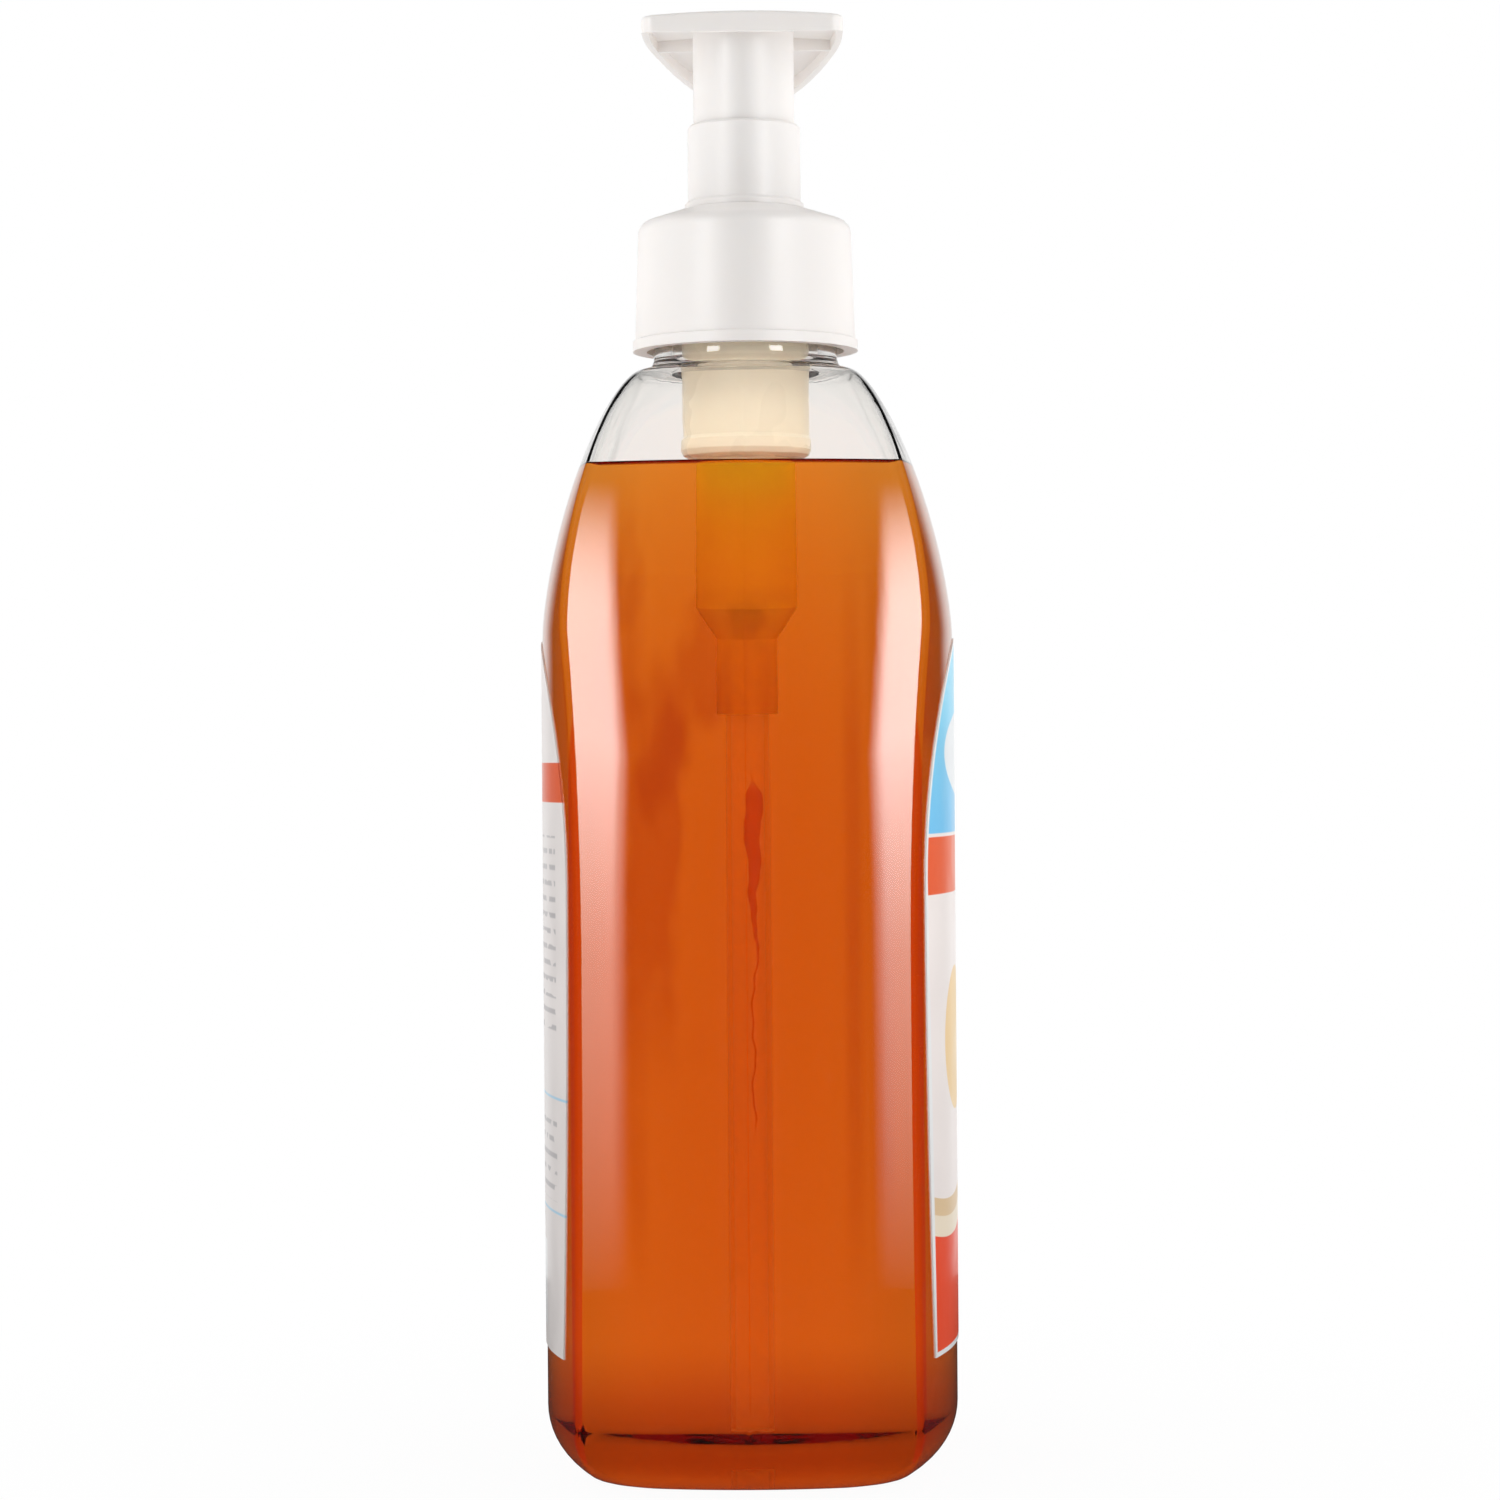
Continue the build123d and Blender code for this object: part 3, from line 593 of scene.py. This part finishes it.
def ridge(angle, z):
    """How far the screw ridge stands out of the neck at an angle and a height."""
    rise = 0.0
    for lap in (0, 1):
        turn = (angle % (2 * pi)) / (2 * pi) + lap
        if turn > thread_turns:
            continue
        away = abs(z - thread_low - turn * thread_pitch)
        share = min(max((thread_root_half - away) / (thread_root_half - thread_crest_half), 0), 1)
        fade = min(turn / thread_run_out, (thread_turns - turn) / thread_run_out, 1)
        rise = max(rise, share * max(fade, 0) * thread_rise)
    return rise


def neck_rings(like):
    """Rings of the neck outside, from the shoulder to the lip, with the screw thread."""
    blend = neck_start - neck_foot
    rings = [turned(neck_start - blend * sin(turn), shoulder_height + blend * (1 - cos(turn)), like)
             for turn in np.linspace(0, pi / 2, 8)]
    rings += [turned(neck_foot, z, like) for z in np.linspace(shoulder_height + blend, neck_foot_top, 5)[1:]]
    angles = np.arctan2(like[:, 1], like[:, 0])
    for z in np.linspace(neck_foot_top + neck_foot_taper, lip_z - lip_chamfer, 76):
        radii = np.array([neck_root + ridge(angle, z) for angle in angles])
        rings.append(level(np.column_stack([radii * np.cos(angles), radii * np.sin(angles)]), z))
    return rings


def bottle_mesh():
    """Blown bottle: outside, neck with its thread, bore and inside, as one closed skin."""
    outside = base_rings(0, 0) + wall_rings(0, 0, shoulder_height, seam_rise)
    like = outside[-1]
    neck = neck_rings(like)
    inner_top = shoulder_height - wall
    lip = [turned(neck_root - lip_chamfer, lip_z, like), turned(neck_bore + lip_chamfer, lip_z, like),
           turned(neck_bore, lip_z - lip_chamfer, like), turned(neck_bore, inner_top, like)]
    inside = base_rings(wall, wall) + wall_rings(wall, wall, inner_top)
    mesh = closed_mesh("bottle_skin", outside + neck + lip + inside[::-1], (push_up, push_up + wall))
    inner_faces = len(like) * len(inside)
    for polygon in mesh.polygons[-inner_faces:]:
        polygon.material_index = 2 if polygon.center.z < contact_z else 1
    return mesh


def soap_mesh():
    """The soap: it wets the walls and climbs a little at them, and closes round the pump."""
    inset = wall - soap_overlap
    rings = base_rings(inset, inset) + wall_rings(inset, inset, contact_z)
    for away in (0.0002, 0.0005, 0.0009, 0.0014, 0.0020, 0.0028, 0.0040, 0.0060):
        climb = meniscus_rise * exp(-away / meniscus_reach)
        rings.append(level(plan(fill_z, inset + away), fill_z + climb))
    like, cling = rings[-1], chamber_floor + soap_overlap / 2
    for share in (0.2, 0.4, 0.6, 0.8, 1.0):
        around = turned(cling_radius + cling_reach, fill_z, like)
        rings.append(like + (around - like) * share)
    for away in (0.0020, 0.0013, 0.0008, 0.0004, 0.00015, 0.0):
        climb = (cling - fill_z) * exp(-away / (meniscus_reach / 3))
        rings.append(turned(cling_radius + away, fill_z + climb, like))
    inner, socket = barrel_radius - soap_overlap / 2, socket_radius - soap_overlap / 2
    for radius, z in ((inner, cling), (inner, barrel_low + soap_overlap), (socket, socket_top),
                      (socket, housing_low + soap_overlap)):
        rings.append(turned(radius, z, like))
    return closed_mesh("soap_body", rings, (push_up + inset, housing_low + soap_overlap))


def label_outline(z):
    """Half width of the label at a height."""
    if z > label_widest_z:
        return label_half * sqrt(max(1 - ((z - label_widest_z) / (label_top - label_widest_z)) ** 2, 0))
    fall, bulge = label_half - label_low_half, label_widest_z - label_low
    radius = (fall ** 2 + bulge ** 2) / (2 * fall)
    return label_half - radius + sqrt(radius ** 2 - (label_widest_z - z) ** 2)


def label_mesh(name, side):
    """Thin film on the front face (side -1) or the back face (side 1), sunk a hair into the bottle's skin."""
    columns = np.linspace(-1, 1, 49)
    heights = [*np.linspace(label_low, label_widest_z, 40, endpoint=False),
               *(label_widest_z + (label_top - label_widest_z) * np.sin(np.linspace(0, label_tip_angle, 40)))]
    centre = bottle_depth / 2 - face_radius
    points = []
    for offset in (label_outside, -label_sunk):
        for z in heights:
            for x in columns * label_outline(z):
                points.append((x, side * (centre + sqrt((face_radius + offset) ** 2 - x * x)), z))
    width, size = len(columns), len(columns) * len(heights)
    faces, inner = [], []
    for i in range(len(heights) - 1):
        for j in range(width - 1):
            corner = i * width + j
            quad = (corner, corner + 1, corner + width + 1, corner + width)
            faces.append(quad)
            inner.append(tuple(size + k for k in reversed(quad)))
    rim = [*range(width), *range(2 * width - 1, size, width), *range(size - 2, size - width - 1, -1),
           *range(size - 2 * width, 0, -width)]
    edge = [(rim[k], size + rim[k], size + rim[(k + 1) % len(rim)], rim[(k + 1) % len(rim)])
            for k in range(len(rim))]
    mesh = smooth_mesh(name, points, faces + edge + inner)
    for polygon in mesh.polygons[len(faces) + len(edge):]:
        polygon.material_index = 1
    return mesh


def upright_lamp(name, azimuth, low, high, width, radiance):
    """Upright area lamp at an azimuth from the camera's side, between two heights, facing the axis."""
    tall = high - low
    data = bpy.data.lights.new(name, "AREA")
    data.shape, data.size, data.size_y = "RECTANGLE", width, tall
    data.energy = pi * radiance * width * tall
    data.use_nodes = True
    tree = data.node_tree
    across = add(tree, "ShaderNodeNewGeometry").outputs["Parametric"]
    split = add(tree, "ShaderNodeSeparateXYZ", {"Vector": across})
    lamp = bpy.data.objects.new(name, data)
    bpy.context.scene.collection.objects.link(lamp)
    turn = radians(azimuth)
    lamp.location = (-lamp_distance * cos(turn), -lamp_distance * sin(turn), (low + high) / 2)
    aim = Vector((cos(turn), sin(turn), 0))
    lamp.rotation_euler = aim.to_track_quat("-Z", "Y").to_euler()
    lamp.visible_camera = False
    lamp.visible_transmission = False
    return lamp, tree, split.outputs["X"], split.outputs["Y"]


def reflected_strip(name, side, radiance):
    """Tall soft box that the side panel mirrors; its edge on the camera's side leans away higher up."""
    lamp, tree, x, y = upright_lamp(name, side * strip_azimuth, strip_foot, lamp_top, strip_width, radiance)
    from_inside = x if side > 0 else calc(tree, "SUBTRACT", 1.0, x)
    leaning = calc(tree, "MULTIPLY", calc(tree, "MAXIMUM", calc(tree, "SUBTRACT", y, 0.395), 0.0), 0.63)
    across = calc(tree, "SUBTRACT", from_inside, leaning)
    inner = remap(tree, across, 0.10, 0.26)
    outer = remap(tree, across, 0.74, 0.64)
    foot = remap(tree, y, 0.0, 0.41, smooth=False)
    head = remap(tree, y, 1.0, 0.60)
    strength = 1.0
    for fade in (inner, outer, foot, head):
        strength = calc(tree, "MULTIPLY", strength, fade)
    tree.links.new(strength, tree.nodes["Emission"].inputs["Strength"])
    lamp.visible_diffuse = False


def key_lamp(name, azimuth, radiance):
    """Upright soft box for the light on the surfaces, which nothing mirrors."""
    lamp = upright_lamp(name, azimuth, key_foot, lamp_top, key_width, radiance)[0]
    lamp.visible_glossy = False


def studio():
    """World, floor and lamps."""
    world = bpy.data.worlds.new("studio")
    bpy.context.scene.world = world
    world.use_nodes = True
    tree = world.node_tree
    tree.nodes.clear()
    path, straight = seen_directly(tree)
    toward = add(tree, "ShaderNodeTexCoord").outputs["Generated"]
    split = add(tree, "ShaderNodeSeparateXYZ", {"Vector": toward})
    sideways = calc(tree, "ABSOLUTE", split.outputs["Y"])
    near_middle = remap(tree, sideways, 0.09, 0.20, 1.0, 0.86)
    through = calc(tree, "MULTIPLY", near_middle, remap(tree, sideways, 0.50, 0.90, 1.0, 0.65))
    through = calc(tree, "MULTIPLY", through, remap(tree, split.outputs["Z"], -0.9, -0.3, 0.55, 1.0))
    mirrored = remap(tree, split.outputs["X"], cos(radians(26)), cos(radians(14)), 0.02, 0.9)
    from_sides = remap(tree, sideways, 0.35, 0.95, 0.08, 0.72)
    from_above = remap(tree, split.outputs["Z"], 0.3, 0.9, 0.0, 0.45)
    from_below = remap(tree, split.outputs["Z"], -0.1, -0.6, 0.0, 0.9)
    around = calc(tree, "ADD", from_sides, calc(tree, "ADD", from_above, from_below))
    inside = calc(tree, "MINIMUM", path["Diffuse Depth"], 1.0)
    clear = mix_value(tree, inside, through, light_inside)
    seen = mix_value(tree, path["Is Camera Ray"], clear, 1.0)
    lit = mix_value(tree, path["Is Glossy Ray"], around, mirrored)
    strength = mix_value(tree, straight, lit, seen)
    glow = add(tree, "ShaderNodeBackground", {"Color": (1, 1, 1, 1), "Strength": strength})
    output = add(tree, "ShaderNodeOutputWorld")
    tree.links.new(glow.outputs[0], output.inputs["Surface"])

    reflected_strip("strip_left", -1, 10.5)
    reflected_strip("strip_right", 1, 12.0)
    for azimuth, radiance, name in ((38, 1.7, "key"), (85, 3.35, "side"), (140, 2.15, "rear")):
        for side, end in ((-1, "left"), (1, "right")):
            key_lamp(f"{name}_{end}", side * azimuth, radiance)
    floor()


def mix_value(tree, share, first, second):
    """Number that goes from first to second with share."""
    return add(tree, "ShaderNodeMix", {0: share, 2: first, 3: second}, data_type="FLOAT").outputs[0]


def floor():
    """Pale round floor that keeps a soft shadow near the bottle and fades to white away from it; the light it
    sends onto the object has a painted shadow near the bottle.
    """
    radius = 0.22
    mesh = bpy.data.meshes.new("floor")
    work = bmesh.new()
    bmesh.ops.create_circle(work, cap_ends=True, radius=radius, segments=96)
    work.to_mesh(mesh)
    work.free()
    made = bpy.data.objects.new("floor", mesh)
    made.location.z = -0.0002
    bpy.context.scene.collection.objects.link(made)
    finish, tree, shader = material("floor_paper", Roughness=0.9)
    shader.inputs["Base Color"].default_value = (0.86, 0.86, 0.86, 1)
    away = add(tree, "ShaderNodeVectorMath", {0: point_of(tree)}, operation="LENGTH").outputs["Value"]
    path = add(tree, "ShaderNodeLightPath").outputs
    soft_edge = remap(tree, away, 0.03, radius * 0.9, 0.96, 1.0)
    from_glow = mix_value(tree, path["Is Camera Ray"], 1.0, soft_edge)
    # Painted shadow and glow: for the light it throws onto the object, the floor glows 0.03 of white near the
    # bottle as a contact shadow, and up to 1.3 of white farther out.
    painted_shadow_and_glow = remap(tree, away, 0.045, 0.150, 0.03, 1.3)
    for_others = mix_value(tree, path["Is Glossy Ray"], painted_shadow_and_glow, 0.03)
    strength = mix_value(tree, path["Is Camera Ray"], for_others, 1.0)
    glow = add(tree, "ShaderNodeEmission", {"Color": (1, 1, 1, 1), "Strength": strength})
    both = add(tree, "ShaderNodeMixShader", {0: from_glow, 1: shader.outputs[0], 2: glow.outputs[0]})
    tree.links.new(both.outputs[0], tree.nodes["Material Output"].inputs["Surface"])
    mesh.materials.append(finish)
    made.visible_transmission = False


def camera():
    """Camera at the photograph's viewing angle."""
    data = bpy.data.cameras.new("camera")
    data.sensor_width = sensor
    data.lens = sensor * camera_distance / frame_width_at_axis
    data.shift_x = camera_aside
    data.shift_y = camera_rise
    made = bpy.data.objects.new("camera", data)
    made.location = (-camera_distance * cos(camera_yaw), -camera_distance * sin(camera_yaw), camera_height)
    ahead = Vector((cos(camera_yaw), sin(camera_yaw), 0))
    rolled = ahead.to_track_quat("-Z", "Y").to_matrix() @ Matrix.Rotation(camera_roll, 3, "Z")
    made.rotation_euler = rolled.to_euler()
    bpy.context.scene.collection.objects.link(made)
    bpy.context.scene.camera = made


def finish_nodes():
    """A finish for every CAD node that is shown as it is."""
    white = moulded("white_plastic", (0.88, 0.845, 0.82), 0.42, 0.50, 0.2)
    ivory = moulded("ivory_plastic", (0.86, 0.76, 0.58), 0.25, 0.35, 0.30)
    wet_below(ivory)
    seal = moulded("seal_foam", (0.86, 0.85, 0.82), 0.5, 0.6, 0.2, grain=0.3)
    tube, tree, shader = material("tube_plastic", Base_Color=(0.995, 0.99, 0.985), IOR=wet_tube_ior,
                                  Transmission_Weight=wet_tube_clearness)
    cloud = noise(tree, point_of(tree), 200)
    tree.links.new(remap(tree, cloud, 0.3, 0.7, 0.04, 0.08), shader.inputs["Roughness"])
    finishes = {"closure_collar": white, "stem_guide": white, "actuator_head": white, "stem": white,
                "piston_seat": white, "pump_housing": ivory, "ball_cage": ivory, "neck_gasket": seal,
                "piston": seal, "dip_tube": tube, "return_spring": steel("spring_wire", 0.22),
                "inlet_ball": steel("ball_steel", 0.05), "outlet_ball": steel("ball_steel_upper", 0.05)}
    for name, finish in finishes.items():
        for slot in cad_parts[name].material_slots:
            slot.material = finish


finish_nodes()
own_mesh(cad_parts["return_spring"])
piece("bottle_skin", bottle_mesh(), "bottle_body", ["bottle"],
      [clear_plastic("clear_plastic", plastic_ior, 0.06, 0.10),
       clear_plastic("clear_plastic_inside", plastic_ior, 0.25, 0.6),
       clear_plastic("clear_plastic_wetted", plastic_ior / soap_ior, 0.25, 0.6, blotches_and_painted_shade=True)])
piece("soap_fill", soap_mesh(), "bottle_body", ["liquid_soap"], [soap()])
underside = film_inside()
piece("front_film", label_mesh("front_film", -1), "bottle_body", ["front_label"],
      [film("front_print", paint_front), underside])
piece("back_film", label_mesh("back_film", 1), "bottle_body", ["back_label"],
      [film("back_print", paint_back), underside])
camera()
studio()

bpy.context.scene.view_settings.view_transform = "Standard"
bpy.context.scene.cycles.transmission_bounces = 48
bpy.context.scene.cycles.max_bounces = 48
